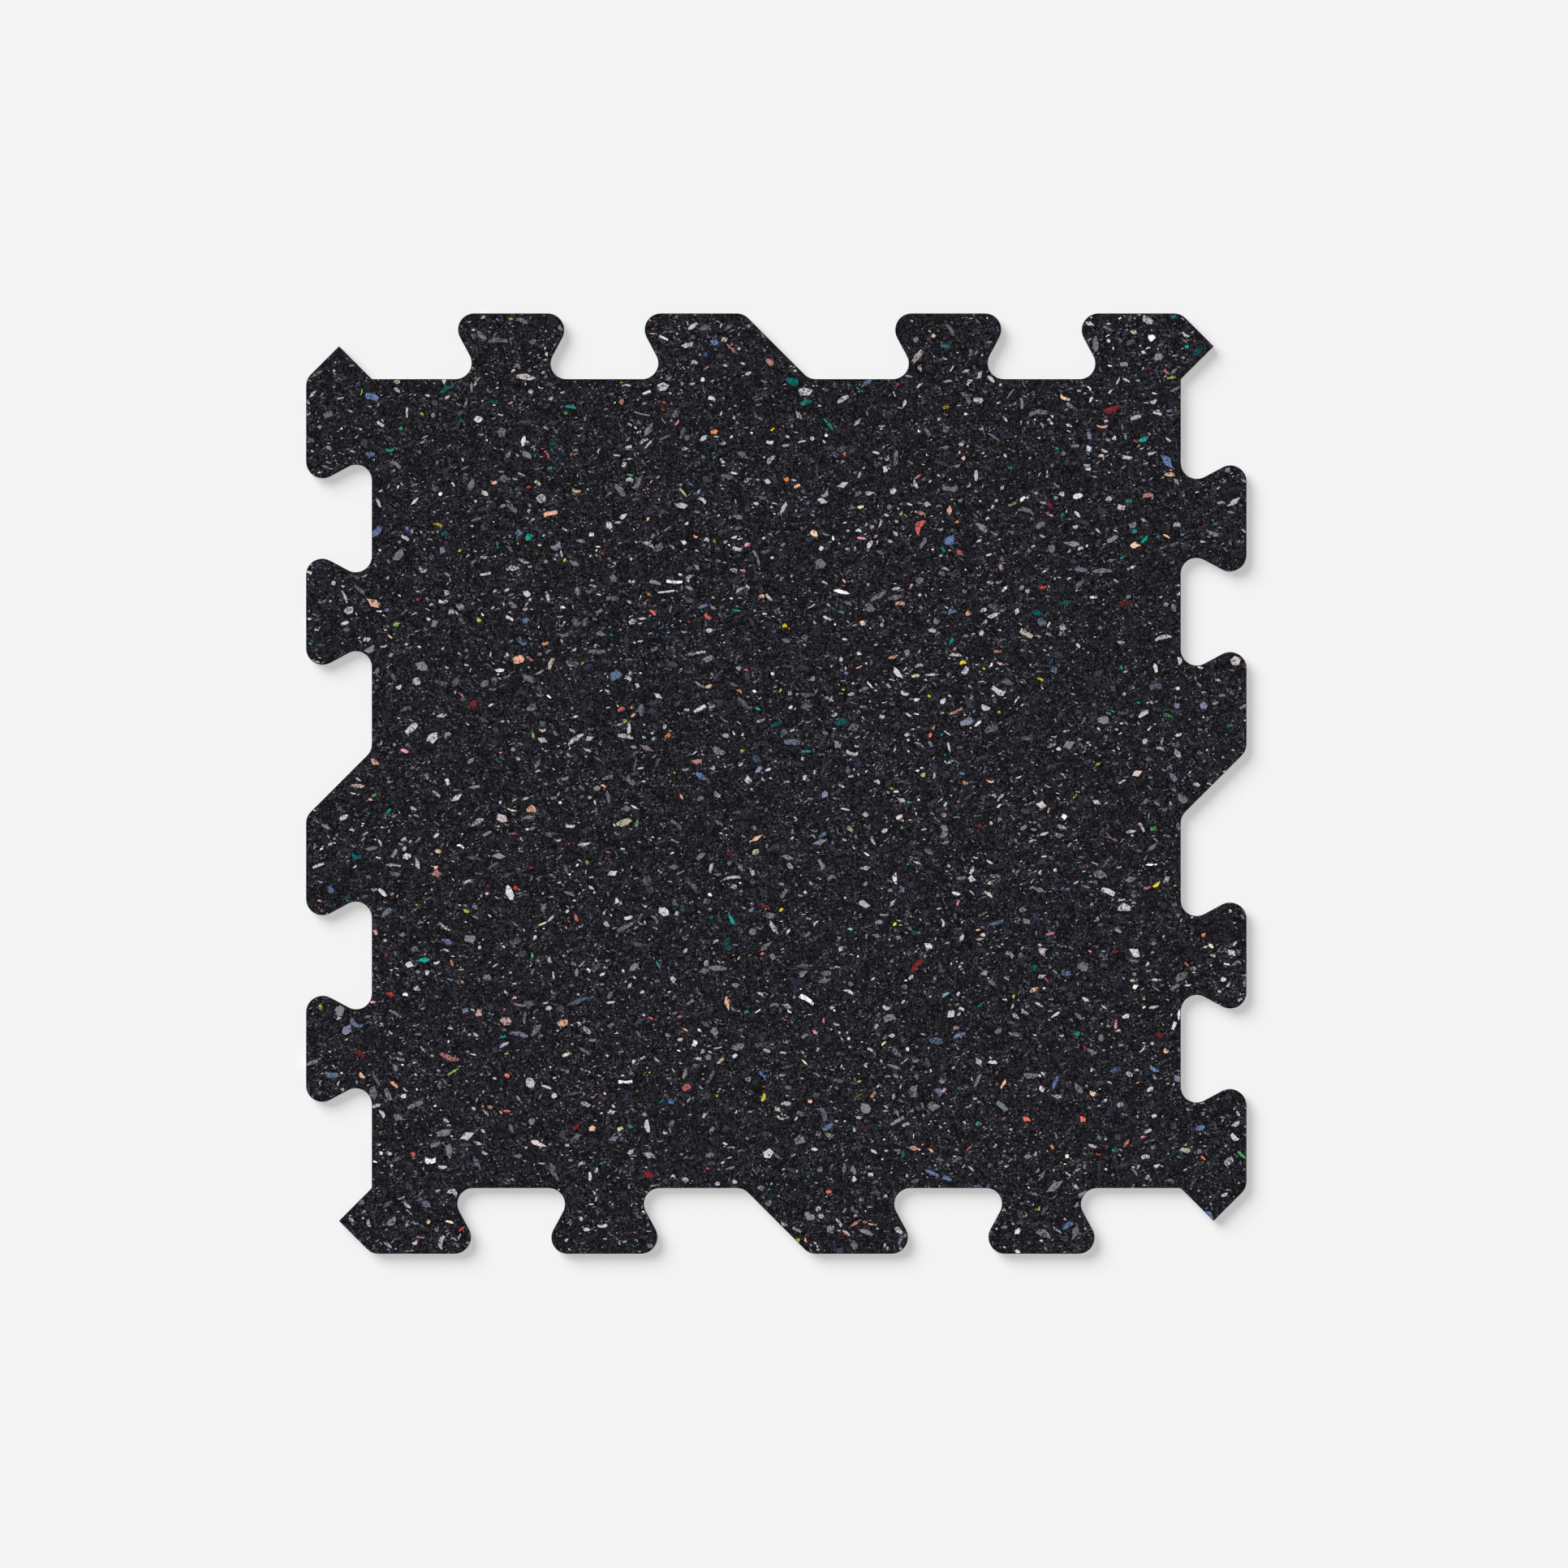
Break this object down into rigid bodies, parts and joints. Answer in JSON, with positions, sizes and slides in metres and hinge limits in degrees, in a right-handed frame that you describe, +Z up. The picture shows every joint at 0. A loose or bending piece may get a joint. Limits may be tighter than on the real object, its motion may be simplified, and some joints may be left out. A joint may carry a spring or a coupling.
{
  "type": "interlocking rubber floor tile",
  "caption": "Square gym floor tile of bonded rubber granulate with coloured flecks; dovetail tabs and sockets along all sides lock it to the next tiles.",
  "frame": {"origin": "middle of the underside's outer square, on the floor", "axes": "+Z up through the walking face; +X and +Y square to the sides, so that tiles repeat every 584.2 mm along each"},
  "size_m": [0.628, 0.628, 0.008],
  "materials": {
    "rubber_granulate": "matt near-black bonded granulate with flecks of many colours all through it"
  },
  "bodies": {
    "root": {"rubber_tile": "rubber_granulate"}
  },
  "joints": []
}
